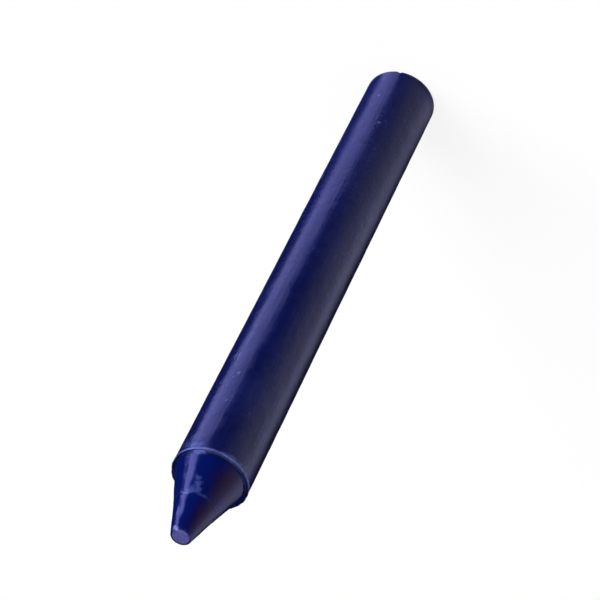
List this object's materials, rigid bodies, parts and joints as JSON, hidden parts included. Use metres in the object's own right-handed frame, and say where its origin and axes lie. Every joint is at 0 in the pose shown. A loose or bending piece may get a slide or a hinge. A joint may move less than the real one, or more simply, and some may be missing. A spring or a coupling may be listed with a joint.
{
  "type": "wax chalk stick",
  "caption": "Round moulded wax chalk stick: a plain cylindrical body with a flat rear end, a beaded shoulder and a conical writing point with a blunt nose.",
  "frame": {"origin": "centre of the flat rear face, on which the stick stands", "axes": "+Z along the stick's axis, from the rear face towards the writing nose; +X and +Y are free but for the small nick in the rear edge, which lies 68 degrees from +X towards -Y"},
  "size_m": [0.0112, 0.0112, 0.1],
  "materials": {
    "wax": "satin"
  },
  "bodies": {
    "root": {"chalk_stick": "wax"}
  },
  "joints": []
}
